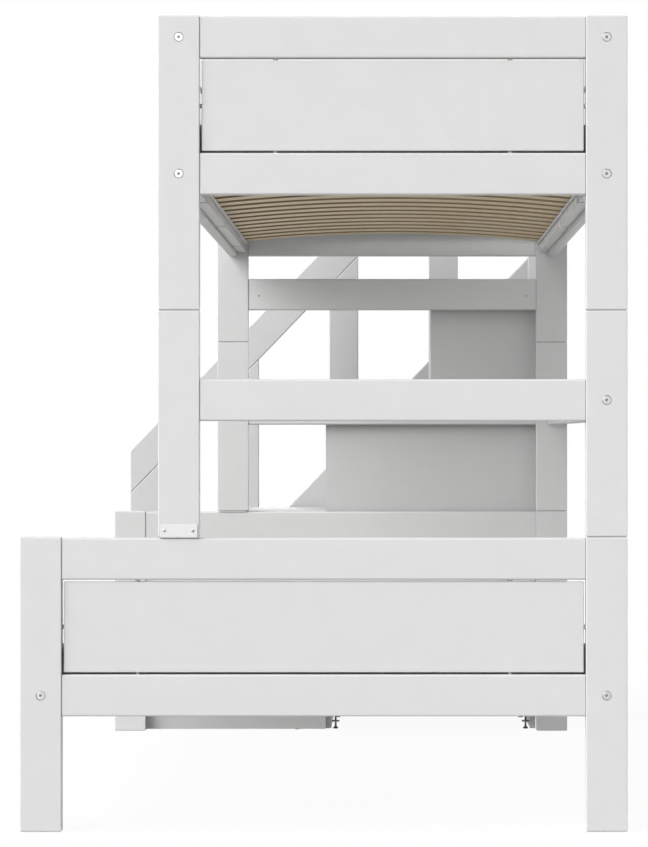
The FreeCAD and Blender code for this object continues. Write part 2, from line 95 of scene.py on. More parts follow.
PICTURE_WIDTH, PICTURE_HEIGHT = 648, 847
VANISHING_X, VANISHING_Y = 391.16, 435.2
FOCAL_PIXELS = 2739.6
SENSOR = 36.0
EYE_X = 0.1465
EYE_HEIGHT = 0.8623
EYE_TO_BED = 5.9506

foot_end_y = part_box("lower_near_post_left")[0].y
lens = bpy.data.cameras.new("camera")
lens.sensor_width = SENSOR
lens.lens = FOCAL_PIXELS / PICTURE_HEIGHT * SENSOR
lens.shift_x = (PICTURE_WIDTH / 2 - VANISHING_X) / PICTURE_HEIGHT
lens.shift_y = (VANISHING_Y - PICTURE_HEIGHT / 2) / PICTURE_HEIGHT
camera = bpy.data.objects.new("camera", lens)
camera.location = (EYE_X, foot_end_y - EYE_TO_BED, EYE_HEIGHT)
camera.rotation_euler = (math.pi / 2, 0, 0)
scene.collection.objects.link(camera)
scene.camera = camera
print("camera: lens", round(lens.lens, 1), "mm, shift", round(lens.shift_x, 3), round(lens.shift_y, 3))

# %% [markdown]
# ## Helpers for shader nodes
# Every finish below is a small network of nodes. One helper adds a node, sets its options, and
# either wires an input to another node's output or sets it to a value. Sums and changes of range
# are so common that they have helpers of their own. So the networks are as short to read as they
# are to draw.

# %% Node helpers
def add_node(tree, kind, wires=None, **options):
    """Adds a shader node. Wires maps an input's name or number to a socket or to a value."""
    node = tree.nodes.new("ShaderNode" + kind)
    for option, value in options.items():
        setattr(node, option, value)
    for socket, value in (wires or {}).items():
        if isinstance(value, bpy.types.NodeSocket):
            tree.links.new(value, node.inputs[socket])
        else:
            node.inputs[socket].default_value = value
    return node


def maths(tree, operation, first, second=0.0, **options):
    """The result of a sum on two sockets or values."""
    return add_node(tree, "Math", {0: first, 1: second}, operation=operation, **options).outputs[0]


def remap(tree, value, source, target):
    """A value that runs over the target range while the given one runs over the source range."""
    return add_node(tree, "MapRange", {0: value, 1: source[0], 2: source[1],
                                       3: target[0], 4: target[1]}).outputs[0]


def seen_directly(tree):
    """1 for the rays that show a background as it is: from the camera, off metal or through glass."""
    rays = add_node(tree, "LightPath").outputs
    either = maths(tree, "ADD", rays["Is Camera Ray"], rays["Is Glossy Ray"])
    return maths(tree, "ADD", either, rays["Is Transmission Ray"], use_clamp=True)


print("node helpers ready")

# %% [markdown]
# ## The studio
# The bed stands in an even white room. The main light comes from the front left and above, so edges
# are pale there, and the bed darkens inside to the right. Weak ones from the right and from above
# soften it, and one from behind lights the sides that the picture doesn't show. All are suns with a
# wide angle: they light near and far boards alike, as a bank of lamps would. A card at the left of
# the camera is only there for the bolts to mirror. World and floor show as white to the camera, so
# the background is white without more light on the bed. The floor keeps some of its matt grey, and
# with it the bed's shadow, and glows a little to bounced light, so that undersides don't go black.

# %% World
AMBIENT = 0.08
WHITE = (1, 1, 1, 1)

world = bpy.data.worlds.new("studio")
world.use_nodes = True
scene.world = world
scene.view_settings.view_transform = "Standard"
tree = world.node_tree
tree.nodes.clear()
dim = add_node(tree, "Background", {"Color": WHITE, "Strength": AMBIENT})
white = add_node(tree, "Background", {"Color": WHITE, "Strength": 1.0})
shown = add_node(tree, "MixShader", {0: seen_directly(tree), 1: dim.outputs[0], 2: white.outputs[0]})
add_node(tree, "OutputWorld", {"Surface": shown.outputs[0]})
print("world: ambient", AMBIENT)

# %% Lamps
from mathutils import Vector

SOFT = math.radians(57)
SUNS = {"key": (Vector((-0.71, -0.45, 0.54)), 3.92),
        "fill": (Vector((0.86, -0.5, 0.09)), 0.6),
        "top": (Vector((-0.25, -0.43, 0.87)), 0.32),
        "back": (Vector((0.45, 0.85, 0.28)), 2.1)}
SUN_DISTANCE = 10.0
CARD_PLACE = Vector((-1.5, -7.6, 2.4))
CARD_SIZE = (3.2, 4.2)
CARD_POWER = 70.0


def add_lamp(name, kind, place, target):
    """A lamp at a place, turned to a point."""
    holder = bpy.data.objects.new(name, bpy.data.lights.new(name, kind))
    holder.location = place
    holder.rotation_euler = (target - place).to_track_quat("-Z", "Y").to_euler()
    scene.collection.objects.link(holder)
    return holder


bed_middle = (frame_box[0] + frame_box[1]) / 2
for name, (come_from, strength) in SUNS.items():
    sun = add_lamp(name, "SUN", bed_middle + come_from.normalized() * SUN_DISTANCE, bed_middle).data
    sun.energy = strength
    sun.angle = SOFT
card = add_lamp("card", "AREA", CARD_PLACE, Vector((CARD_PLACE.x, bed_middle.y, CARD_PLACE.z)))
card.visible_diffuse = False
card.data.shape = "RECTANGLE"
card.data.size, card.data.size_y = CARD_SIZE
card.data.energy = CARD_POWER

# %% Floor
import bmesh

FLOOR_HALF = 30.0
FLOOR_COLOUR = (0.37, 0.37, 0.37, 1)
FLOOR_WHITE = 1.11
FLOOR_GLOW = 0.85
UPLIGHT = 0.25

floor_shape = bmesh.new()
bmesh.ops.create_grid(floor_shape, x_segments=1, y_segments=1, size=FLOOR_HALF)
floor_mesh = bpy.data.meshes.new("floor")
floor_shape.to_mesh(floor_mesh)
floor_shape.free()
floor_finish = bpy.data.materials.new("pale_floor")
floor_finish.use_nodes = True
tree = floor_finish.node_tree
tree.nodes.clear()
matt = add_node(tree, "BsdfDiffuse", {"Color": FLOOR_COLOUR})
white = add_node(tree, "Emission", {"Color": WHITE, "Strength": FLOOR_WHITE})
share = maths(tree, "MULTIPLY", seen_directly(tree), FLOOR_GLOW)
bounced = add_node(tree, "LightPath").outputs["Is Diffuse Ray"]
uplight = add_node(tree, "Emission", {"Color": WHITE, "Strength": maths(tree, "MULTIPLY", bounced, UPLIGHT)})
lit = add_node(tree, "AddShader", {0: matt.outputs[0], 1: uplight.outputs[0]})
shown = add_node(tree, "MixShader", {0: share, 1: lit.outputs[0], 2: white.outputs[0]})
add_node(tree, "OutputMaterial", {"Surface": shown.outputs[0]})
floor_mesh.materials.append(floor_finish)
floor = bpy.data.objects.new("floor", floor_mesh)
scene.collection.objects.link(floor)
print("floor:", 2 * FLOOR_HALF, "m square")

# %% [markdown]
# ## Reading the frame
# A node can hold several solids, such as the sixteen slats of a base. Their faces come one solid
# after the other, and a closed solid is whole when each of its edges has been met twice. One walk
# through the faces therefore splits a node, even where two solids touch and share corner points,
# where joining by nearness would fail. Each solid is then measured once.

# %% Split a node into solids
from collections import namedtuple

TINY = 1e-5
Solid = namedtuple("Solid", "number faces points low high axis")


def measured(number, faces):
    """One solid of a node: its faces, its corner points, its box and the axis it is longest along."""
    points = [Vector(spot) for spot in sorted({spot for face in faces for spot in face})]
    low = Vector([min(point[axis] for point in points) for axis in range(3)])
    high = Vector([max(point[axis] for point in points) for axis in range(3)])
    size = high - low
    return Solid(number, faces, points, low, high, max(range(3), key=lambda axis: size[axis]))


def solids_of(node):
    """The closed solids of a node. Their faces are lists of corner places."""
    mesh = frame["nodes"][node].data
    spots = [tuple(round(value, 6) for value in corner.co) for corner in mesh.vertices]
    solids = []
    faces = []
    open_edges = set()
    for face in mesh.polygons:
        corners = [spots[index] for index in face.vertices]
        faces.append(corners)
        for edge in zip(corners, corners[1:] + corners[:1]):
            open_edges ^= {frozenset(edge)}
        if not open_edges:
            solids.append(measured(len(solids), faces))
            faces = []
    return solids


print("solids:", sum(len(solids_of(node)) for node in frame["nodes"]))

# %% [markdown]
# ## From a shape to a piece
# Each new piece is a mesh that stands for a node of the frame: it rides on the node's body. Two
# values are kept on its points for the finishes. "grain" is the point's place
# measured along the fibres, so that wood runs lengthwise in every board, whichever way it lies.
# "edge" is 1 on rounded edges, where hands and cloths rub, and on slat sides and in sockets and grooves,
# where the finishes paint shade. Weighted normals keep the flats flat and the rounded edges smooth without
# any more faces.

# %% Piece helpers
import itertools

SHARP_ANGLE = math.radians(38)
GRAIN_STEP = 0.618

plank_numbers = itertools.count()


def new_shape():
    shape = bmesh.new()
    shape.verts.layers.float_vector.new("grain")
    shape.verts.layers.float.new("edge")
    return shape


def lay_grain(mesh, planks):
    """Measures each point along the grain of the plank that holds it: (low, high, direction)."""
    grain = mesh.attributes["grain"].data
    left = set(range(len(mesh.vertices)))
    for low, high, along in planks:
        side = along.orthogonal().normalized()
        third = along.cross(side)
        start = Vector((next(plank_numbers) * GRAIN_STEP, 0, 0))
        for index in list(left):
            place = mesh.vertices[index].co
            if all(low[axis] - TINY <= place[axis] <= high[axis] + TINY for axis in range(3)):
                grain[index].vector = start + Vector((place.dot(along), place.dot(side), place.dot(third)))
                left.discard(index)


def add_object(name, shape):
    """Turns a shape into an object in the scene."""
    mesh = bpy.data.meshes.new(name)
    bmesh.ops.recalc_face_normals(shape, faces=shape.faces)
    shape.to_mesh(mesh)
    shape.free()
    made = bpy.data.objects.new(name, mesh)
    scene.collection.objects.link(made)
    return made


def cut_out(piece, tool_shape):
    """Cuts a shape out of a piece's mesh for good."""
    tool = add_object("cutter", tool_shape)
    cut = piece.modifiers.new("cut", "BOOLEAN")
    cut.operation = "DIFFERENCE"
    cut.solver = "EXACT"
    cut.object = tool
    graph = bpy.context.evaluated_depsgraph_get()
    carved = bpy.data.meshes.new_from_object(piece.evaluated_get(graph))
    piece.modifiers.remove(cut)
    piece.data = carved
    bpy.data.objects.remove(tool)


def add_piece(node, ending, shape, finish, planks, carve):
    """Turns a shape into a piece that stands for a node. Carve is a shape that is cut out of it, or None."""
    piece = add_object(node + ending, shape)
    if carve is not None:
        cut_out(piece, carve)
    lay_grain(piece.data, planks)
    piece.data.materials.clear()
    piece.data.materials.append(finish)
    piece.data.shade_smooth()
    piece.data.set_sharp_from_angle(angle=SHARP_ANGLE)
    even = piece.modifiers.new("even_flats", "WEIGHTED_NORMAL")
    even.keep_sharp = True
    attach(piece, frame["nodes"][node]["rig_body"])
    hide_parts(node)


# %% [markdown]
# ## Effects that several finishes share
# Wood fibres, rubbed edges and the fine skin of a sprayed coat turn up in more than one finish, so
# each is a node group that is built once. A group gives only values that change over the surface.
# The shader stays in the material. The fibres are noise that is stretched along the "grain"
# value: an image of wood would repeat from board to board, and this never does.

# %% Effect groups
STREAK_SHARE = 0.14
CLOUD_SHARE = 0.02


def new_group(name, inputs, outputs):
    """A shader node group with named number inputs and outputs."""
    group = bpy.data.node_groups.new(name, "ShaderNodeTree")
    for label, value in inputs.items():
        socket = group.interface.new_socket(label, in_out="INPUT", socket_type="NodeSocketFloat")
        socket.default_value = value
    for label in outputs:
        group.interface.new_socket(label, in_out="OUTPUT", socket_type="NodeSocketFloat")
    return group, group.nodes.new("NodeGroupInput").outputs, group.nodes.new("NodeGroupOutput").inputs


grain_group, given, results = new_group("wood_grain", {"Fibre Size": 0.003, "Stretch": 24.0},
                                        ("Fibre", "Streak"))
place = add_node(grain_group, "Attribute", attribute_name="grain").outputs["Vector"]
divisor = add_node(grain_group, "CombineXYZ", {0: given["Stretch"], 1: 1.0, 2: 1.0}).outputs[0]
drawn = add_node(grain_group, "VectorMath", {0: place, 1: divisor}, operation="DIVIDE").outputs[0]
per_metre = maths(grain_group, "DIVIDE", 1.0, given["Fibre Size"])
fine = add_node(grain_group, "TexNoise", {"Vector": drawn, "Scale": per_metre, "Detail": 5.0,
                                          "Roughness": 0.62, "Distortion": 0.5})
grain_group.links.new(fine.outputs[0], results["Fibre"])
slow = maths(grain_group, "MULTIPLY", per_metre, STREAK_SHARE)
broad = add_node(grain_group, "TexNoise", {"Vector": drawn, "Scale": slow, "Detail": 3.0,
                                           "Roughness": 0.5, "Distortion": 0.9})
grain_group.links.new(broad.outputs[0], results["Streak"])

rub_group, given, results = new_group("rubbed_edge", {"Patch Size": 0.05, "Amount": 1.0}, ("Rub",))
edge = add_node(rub_group, "Attribute", attribute_name="edge").outputs["Fac"]
spot = add_node(rub_group, "TexCoord").outputs["Object"]
per_metre = maths(rub_group, "DIVIDE", 1.0, given["Patch Size"])
patchy = add_node(rub_group, "TexNoise", {"Vector": spot, "Scale": per_metre, "Detail": 4.0})
patches = remap(rub_group, patchy.outputs[0], (0.35, 0.65), (0.25, 1.0))
masked = maths(rub_group, "MULTIPLY", edge, patches)
rub_group.links.new(maths(rub_group, "MULTIPLY", masked, given["Amount"]), results["Rub"])

skin_group, given, results = new_group("sprayed_skin", {"Dimple Size": 0.002}, ("Dimple", "Cloud"))
spot = add_node(skin_group, "TexCoord").outputs["Object"]
per_metre = maths(skin_group, "DIVIDE", 1.0, given["Dimple Size"])
dimple = add_node(skin_group, "TexNoise", {"Vector": spot, "Scale": per_metre, "Detail": 2.0})
skin_group.links.new(dimple.outputs[0], results["Dimple"])
slow = maths(skin_group, "MULTIPLY", per_metre, CLOUD_SHARE)
cloud = add_node(skin_group, "TexNoise", {"Vector": spot, "Scale": slow, "Detail": 3.0})
skin_group.links.new(cloud.outputs[0], results["Cloud"])
print("effects:", [group.name for group in bpy.data.node_groups])

# %% [markdown]
# ## White lacquer
# The boards are sprayed with a matt white lacquer. On the real bed it isn't one flat white: the
# fibres of the wood still show as a faint relief along each board, the coat clouds a little, and
# rubbed edges shine a trace more. A bump from the fibres and the skin gives that relief, and the
# same values shift colour and gloss by a few hundredths, so the white stays white. White boards also
# light each other, and in an open white room that would wash out the inside of the bed. So light that
# has already bounced meets a darker grey, which keeps the shaded sides as deep as on the picture.

# %% Lacquer
WHITE_BOUNCE = (0.25, 0.25, 0.25)
NOISE_RANGE = (0.3, 0.7)
LACQUER_POLISH = 0.1


def new_finish(name):
    """A material with only its shader and output, and the shader's inputs."""
    finish = bpy.data.materials.new(name)
    finish.use_nodes = True
    tree = finish.node_tree
    tree.nodes.clear()
    shader = add_node(tree, "BsdfPrincipled")
    add_node(tree, "OutputMaterial", {"Surface": shader.outputs[0]})
    return finish, tree, shader.inputs


def use_group(tree, group, **values):
    node = add_node(tree, "Group", node_tree=group)
    for label, value in values.items():
        node.inputs[label.replace("_", " ")].default_value = value
    return node.outputs


def mix_colours(tree, share, first, second):
    """A blend of two colours, each a socket or its red, green and blue."""
    wires = {0: share}
    for socket, colour in ((6, first), (7, second)):
        wires[socket] = colour if isinstance(colour, bpy.types.NodeSocket) else (*colour, 1)
    return add_node(tree, "Mix", wires, data_type="RGBA").outputs[2]


def spread(tree, value, low, high):
    """Maps a noise value, which keeps near its middle, to a range."""
    return remap(tree, value, NOISE_RANGE, (low, high))


def calm_bounce(tree, colour, bounced):
    """The colour itself to the camera and to lamps, and a darker one to light on its second bounce."""
    again = add_node(tree, "LightPath").outputs["Is Diffuse Ray"]
    return mix_colours(tree, again, colour, bounced)


def surface(tree, shader, roughness, height, strength, relief):
    """Wires a roughness to a shader, and a relief of so many metres from a height value."""
    tree.links.new(roughness, shader["Roughness"])
    bump = add_node(tree, "Bump", {"Strength": strength, "Distance": relief, "Height": height})
    tree.links.new(bump.outputs[0], shader["Normal"])


def paint(name, colour, shade, roughness, skin_share, relief):
    """A sprayed coat on a board: fibres and dimples in relief, slight clouds, smoother edges."""
    finish, tree, shader = new_finish(name)
    fibres = use_group(tree, grain_group, Fibre_Size=0.0022, Stretch=30.0)
    skin = use_group(tree, skin_group, Dimple_Size=0.0012)
    rub = use_group(tree, rub_group, Patch_Size=0.06, Amount=LACQUER_POLISH)
    clouded = mix_colours(tree, spread(tree, skin["Cloud"], 0.0, 1.0), colour, shade)
    streaked = mix_colours(tree, spread(tree, fibres["Streak"], 0.0, 0.5), clouded, shade)
    tree.links.new(calm_bounce(tree, streaked, WHITE_BOUNCE), shader["Base Color"])
    polished = maths(tree, "SUBTRACT", spread(tree, fibres["Fibre"], *roughness), rub["Rub"])
    height = add_node(tree, "Mix", {0: skin_share, 2: fibres["Fibre"], 3: skin["Dimple"]}, data_type="FLOAT")
    surface(tree, shader, polished, height.outputs[0], strength=0.5, relief=relief)
    return finish


board_lacquer = paint("board_lacquer", colour=(0.725, 0.725, 0.725), shade=(0.705, 0.705, 0.703),
                      roughness=(0.45, 0.55), skin_share=0.35, relief=0.00006)
panel_lacquer = paint("panel_lacquer", colour=(0.635, 0.635, 0.635), shade=(0.62, 0.62, 0.62),
                      roughness=(0.41, 0.51), skin_share=0.85, relief=0.00004)
print("finishes:", board_lacquer.name, panel_lacquer.name)

# %% [markdown]
# ## Rounded boards
# A planed board is a box whose edges were run over with a rounding cutter. Here a section with
# rounded corners is carried along each board, and drawn in at both ends along a quarter circle.
# Where two rounded boards meet, the roundings leave a fine groove, and these grooves are the joint
# lines of the real bed. A bevel modifier rounds too, but all edges alike, and the points it makes
# couldn't be marked as edges for the finish. Other shapes have their edges bevelled one by one.

# %% Board helper
ROUND_STEPS = 3
LEAST_CORNER = 0.1
UNIT = (Vector((1, 0, 0)), Vector((0, 1, 0)), Vector((0, 0, 1)))


def round_edges(shape, edges, radius, steps=ROUND_STEPS):
    """Rounds edges and marks the points of the rounding, but not its borders, as edge."""
    made = bmesh.ops.bevel(shape, geom=list(edges), offset=radius, segments=steps, profile=0.5,
                           affect="EDGES", clamp_overlap=True)
    rounded = set(made["faces"])
    mark = shape.verts.layers.float["edge"]
    for corner in made["verts"]:
        if all(face in rounded for face in corner.link_faces):
            corner[mark] = 1.0


def add_box(shape, low, high):
    """Adds a plain box and returns its edges."""
    corners = bmesh.ops.create_cube(shape, size=1.0)["verts"]
    for corner in corners:
        corner.co = [high[axis] if corner.co[axis] > 0 else low[axis] for axis in range(3)]
    return {edge for corner in corners for edge in corner.link_edges}


def runs_along(edge, axis):
    run = edge.verts[1].co - edge.verts[0].co
    return abs(run[axis]) > run.length - TINY


def rounded_section(width, thick, radius, steps=ROUND_STEPS):
    """A rectangle with rounded corners as (across, up, is within a rounding) about its middle."""
    ring = []
    for turn, (side, up) in enumerate(((1, 1), (-1, 1), (-1, -1), (1, -1))):
        for step in range(steps + 1):
            angle = math.pi / 2 * (turn + step / steps)
            ring.append((side * (width / 2 - radius) + radius * math.cos(angle),
                         up * (thick / 2 - radius) + radius * math.sin(angle), 0 < step < steps))
    return ring


def join_rings(shape, rings):
    """Joins rings that have the same number of points to a closed skin."""
    for first, second in zip(rings, rings[1:]):
        for index in range(len(first)):
            shape.faces.new((first[index - 1], first[index], second[index], second[index - 1]))
    shape.faces.new(rings[0])
    shape.faces.new(rings[-1])


def add_plank(shape, low, high, axis, radius, end_radius):
    """Adds a board with one rounding along it and another one round its ends."""
    edge = shape.verts.layers.float["edge"]
    across, up = (axis + 1) % 3, (axis + 2) % 3
    middle, size = (low + high) / 2, high - low
    ease = [(end_radius * (1 - math.sin(angle)), end_radius * (1 - math.cos(angle)))
            for angle in (math.pi / 2 * step / ROUND_STEPS for step in range(ROUND_STEPS + 1))]
    stations = [(low[axis] + deep, inset) for inset, deep in ease]
    stations += [(high[axis] - deep, inset) for inset, deep in reversed(ease)]
    rings = []
    for place, inset in stations:
        ring = []
        corner_radius = max(radius - inset, radius * LEAST_CORNER)
        section = rounded_section(size[across] - 2 * inset, size[up] - 2 * inset, corner_radius)
        for out, rise, rounded in section:
            spot = UNIT[axis] * place
            spot[across] = middle[across] + out
            spot[up] = middle[up] + rise
            corner = shape.verts.new(spot)
            corner[edge] = 1.0 if rounded or TINY < inset < end_radius - TINY else 0.0
            ring.append(corner)
        rings.append(ring)
    join_rings(shape, rings)


print("board helper ready")

# %% [markdown]
# ## The bolts' places
# A bed bolt sits flush in a counterbore of the post's face, so the posts need round recesses where
# the bolts are. Their places are read off the frame's bolts: the head is the wide end of each.

# %% Find the bolts
HEAD_SHARE = 0.99
SHANK_SHARE = 0.9
Pin = namedtuple("Pin", "face inward head shank thick length plain")


def read_pin(solid):
    """A pin: the centre of its wide end, the direction it runs in, its radii and its lengths."""
    low, high, axis = solid.low, solid.high, solid.axis
    middle = (low + high) / 2
    reach = []
    for point in solid.points:
        out = point - middle
        out[axis] = 0
        reach.append(out.length)
    radius = max(reach)
    head = [point[axis] for point, out in zip(solid.points, reach) if out > HEAD_SHARE * radius]
    at_low = min(head) - low[axis] <= high[axis] - max(head)
    face = middle.copy()
    face[axis] = low[axis] if at_low else high[axis]
    inward = UNIT[axis] * (1 if at_low else -1)
    thick = max(head) - min(head)
    length = high[axis] - low[axis]
    shank = max([out for out in reach if out < SHANK_SHARE * radius], default=radius)
    return Pin(face, inward, radius, shank, thick, length, plain=thick > HEAD_SHARE * length)


bolts = [read_pin(solid) for solid in solids_of("bed_bolts")]
print("bolts:", len(bolts), "with heads of", round(2000 * bolts[0].head, 1), "mm")

# %% [markdown]
# ## Turned shapes
# Bolts, screws, dowels, glides and levelling feet are all turned on a lathe, so one helper makes
# them: it carries a profile of radii and heights round an axis. A profile point may have an
# outline, a function of angle and height that draws in the circle, for hexagon sockets, cross slots,
# knurls and threads. It may also have an "edge" value, which marks where the finish paints shade
# into hollows, with some dust and grease.

# %% Lathe helper
LATHE_STEPS = 36
FINE_STEPS = 48
RECESS_GAP = 0.0007
RECESS_EXTRA = 0.0003
OVERRUN = 0.002
JUST_INSIDE = 0.0001


def add_turned(shape, profile, place, axis, steps=LATHE_STEPS):
    """Adds a turned solid. Profile points are (radius, height) and maybe an outline and an edge value."""
    edge = shape.verts.layers.float.get("edge")
    side = axis.orthogonal().normalized()
    front = axis.cross(side)
    rings = []
    for radius, height, *more in profile:
        outline = more[0] if more else None
        centre = place + axis * height
        ring = []
        for step in range(steps if radius > TINY else 1):
            angle = math.tau * step / steps
            reach = radius * outline(angle, height) if outline else radius
            corner = shape.verts.new(centre + (side * math.cos(angle) + front * math.sin(angle)) * reach)
            if len(more) > 1:
                corner[edge] = more[1]
            ring.append(corner)
        rings.append(ring)
    for lower, upper in zip(rings, rings[1:]):
        for step in range(steps):
            after = (step + 1) % steps
            corners = [lower[step % len(lower)], lower[after % len(lower)],
                       upper[after % len(upper)], upper[step % len(upper)]]
            shape.faces.new(list(dict.fromkeys(corners)))


def ridged(count, depth):
    """An outline with a number of ridges, drawn in by a share of the radius between them."""
    return lambda angle, height: 1 - depth * (0.5 + 0.5 * math.cos(count * angle))


def add_drill(shape, radius, start, end, place, axis):
    """Adds a round tool that cuts a hole between two heights along an axis."""
    add_turned(shape, [(0, start), (radius, start), (radius, end), (0, end)], place, axis)


def recesses_in(planks):
    """A cutting shape with the counterbores of the bolts whose heads lie in planks, or None."""
    tool = bmesh.new()
    for bolt in bolts:
        inside = bolt.face + bolt.inward * JUST_INSIDE
        for low, high, _ in planks:
            if all(low[axis] < inside[axis] < high[axis] for axis in range(3)):
                add_drill(tool, bolt.head + RECESS_GAP, -OVERRUN, bolt.thick + RECESS_EXTRA,
                          bolt.face, bolt.inward)
    if tool.verts:
        return tool
    tool.free()
    return None


print("lathe helper ready")

# %% [markdown]
# ## Posts, rails and end panels
# These are the boards that the picture is made of. Posts stand on each other: their long edges are
# rounded a little and their ends more, so that a stacked joint shows as a line. Rails sit between
# posts, a little behind their faces, and are the roundest. The end panels hang in a narrow gap on
# dowels, which lets the wood move, and their edges are only eased. One loop dresses a node, here
# and below: it goes through the node's solids and leaves their shape to a builder, a function that
# adds one solid and says which way its grain runs.

# %% Posts, rails and panels
POST_ROUND = 0.002
POST_END_ROUND = 0.004
RAIL_ROUND = 0.0045
RAIL_END_ROUND = 0.0022
PANEL_ROUND = 0.0018


def dress(node, ending, finish, build, carve=None):
    """Replaces a node by a piece. Build adds a solid to a shape and returns its grain's direction or None."""
    shape = new_shape()
    planks = []
    for solid in solids_of(node):
        along = build(shape, solid)
        if along is not None:
            planks.append((solid.low, solid.high, along))
    add_piece(node, ending, shape, finish, planks, carve or recesses_in(planks))


def board(radius, end_radius=None):
    """A builder of boards with a rounding along them and maybe another one round their ends."""
    def build(shape, solid):
        add_plank(shape, solid.low, solid.high, solid.axis, radius, end_radius or radius)
        return UNIT[solid.axis]
    return build


posts = [node for node in frame["nodes"] if "_post_" in node] + ["far_guard_post"]
panels = [node for node in frame["nodes"] if "panel" in node and "back" not in node]
rails = [node for node in frame["nodes"] if "rail" in node and node not in ("handrail", "landing_rail")]
for node in posts:
    dress(node, "_painted", board_lacquer, board(POST_ROUND, POST_END_ROUND))
for node in rails:
    dress(node, "_painted", board_lacquer, board(RAIL_ROUND, RAIL_END_ROUND))
for node in panels:
    dress(node, "_painted", board_lacquer, board(PANEL_ROUND))
print(len(posts), "posts,", len(rails), "rail nodes,", len(panels), "panels")

# %% [markdown]
# ## Ledgers
# The slatted bases lie on short strips that are fixed inside the side rails, four in a row. Their
# upright corners are rounded like a thumb, so that bedding doesn't catch, and the long edges less.

# %% Ledgers
LEDGER_CORNER = 0.006
LEDGER_ROUND = 0.002


def add_ledger(shape, solid):
    before = set(shape.edges)
    edges = add_box(shape, solid.low, solid.high)
    round_edges(shape, [edge for edge in edges if runs_along(edge, 2)], LEDGER_CORNER)
    level = [edge for edge in shape.edges if edge not in before
             and abs(edge.verts[0].co.z - edge.verts[1].co.z) < TINY]
    round_edges(shape, level, LEDGER_ROUND)
    return UNIT[solid.axis]


dress("slat_ledgers", "_painted", board_lacquer, add_ledger)
print("ledgers:", len(solids_of("slat_ledgers")))

# %% [markdown]
# ## Banister boards
# The handrail, the stringer and the tops of the banister posts are cut at the slope of the stairs.
# Each is one flat outline, seen from the side, with a thickness. The outline is the hull of the
# board's points between its two faces, and the rounding follows all the way round it. The rail's
# rounded nose is many short sides, which are left as they are: only real corners get a rounding.

# %% Sawn boards
from mathutils import geometry

SAWN_ROUND = 0.003
CORNER_ANGLE = math.radians(25)
STRAIGHT = math.radians(0.5)


def bend_at(ring, index):
    """The angle by which an outline turns at one of its points."""
    into = ring[index] - ring[index - 1]
    out = ring[(index + 1) % len(ring)] - ring[index]
    return abs(into.angle_signed(out))


def outline_of(solid):
    """The convex outline, as (x, z), of a flat board that stands upright along X."""
    within = {(round(point.x, 5), round(point.z, 5)) for point in solid.points
              if solid.low.y + TINY < point.y < solid.high.y - TINY}
    flat = [Vector(spot) for spot in sorted(within)]
    ring = [flat[index] for index in geometry.convex_hull_2d(flat)]
    return [spot for index, spot in enumerate(ring) if bend_at(ring, index) > STRAIGHT]


def add_sawn(shape, solid):
    """Adds a board's outline with its thickness, and rounds its corners and the edges of its faces."""
    ring = outline_of(solid)
    front = [shape.verts.new((spot.x, solid.low.y, spot.y)) for spot in ring]
    back = [shape.verts.new((spot.x, solid.high.y, spot.y)) for spot in ring]
    join_rings(shape, [front, back])
    edges = [shape.edges.get((front[index], back[index])) for index in range(len(ring))
             if bend_at(ring, index) > CORNER_ANGLE]
    for loop in (front, back):
        edges += [shape.edges.get((loop[index - 1], loop[index])) for index in range(len(loop))]
    bmesh.ops.recalc_face_normals(shape, faces=shape.faces)
    round_edges(shape, edges, SAWN_ROUND)
    sides = [ring[index] - ring[index - 1] for index in range(len(ring))]
    run = max(sides, key=lambda side: side.length).normalized()
    return Vector((run.x, 0, run.y))


for node in ("banister_posts", "handrail", "landing_rail", "stair_stringer"):
    dress(node, "_painted", board_lacquer, add_sawn)
    print(node, "outline of", len(outline_of(solids_of(node)[0])), "points")

# %% [markdown]
# ## The chest of steps
# The stairs are board furniture: upright walls, treads on top, shelves and floors between, and two
# stepped panels that close them towards the bed. Such boards are coated all over and only broken
# at the edges, so their rounding is small. The treads' front edges are rounded more, for bare feet.
# The stepped panels aren't boxes, so they are copied from the frame's own faces and then eased.

# %% Stair boards
CHEST_ROUND = 0.0009
TREAD_ROUND = 0.0026


def eased_copy(radius, along=None):
    """A builder of copies of the frame's faces with their corners eased. The grain may be given."""
    def build(shape, solid):
        spots = {spot: shape.verts.new(spot) for face in solid.faces for spot in face}
        made = [shape.faces.new([spots[spot] for spot in face]) for face in solid.faces]
        edges = list({edge for face in made for edge in face.edges})
        corners = list(spots.values())
        for face in made:
            face.normal_update()
        bmesh.ops.dissolve_limit(shape, angle_limit=STRAIGHT, verts=corners, edges=edges)
        left = [corner for corner in corners if corner.is_valid]
        sharp = {edge for corner in left for edge in corner.link_edges
                 if edge.is_manifold and edge.calc_face_angle() > CORNER_ANGLE}
        round_edges(shape, sharp, radius, steps=2)
        return along or UNIT[solid.axis]
    return build


for node in ("low_back_panel", "tall_back_panel"):
    dress(node, "_painted", panel_lacquer, eased_copy(CHEST_ROUND, UNIT[2]))
chest = {"stair_walls": CHEST_ROUND, "stair_shelves": CHEST_ROUND, "stair_treads": TREAD_ROUND}
for node, radius in chest.items():
    dress(node, "_painted", panel_lacquer, board(radius))
print("stair boards:", sum(len(solids_of(node)) for node in chest))

# %% [markdown]
# ## The chest's floor
# The tall part of the chest stands on four levelling screws that pass through its floor board. The
# board gets a round hole for each, a little wider than the thread, so that the screws can turn.

# %% Chest floor
STEM_PLAY = 0.0004

feet = range(1, 5)
low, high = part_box("cabinet_floor")
holes = bmesh.new()
for number in feet:
    screw = solids_of("foot_screw_%d" % number)[0]
    middle = (screw.low + screw.high) / 2
    stem = max((point.xy - middle.xy).length for point in screw.points if point.z > screw.high.z - TINY)
    add_drill(holes, stem + STEM_PLAY, low.z - OVERRUN, high.z + OVERRUN,
              Vector((middle.x, middle.y, 0)), UNIT[2])


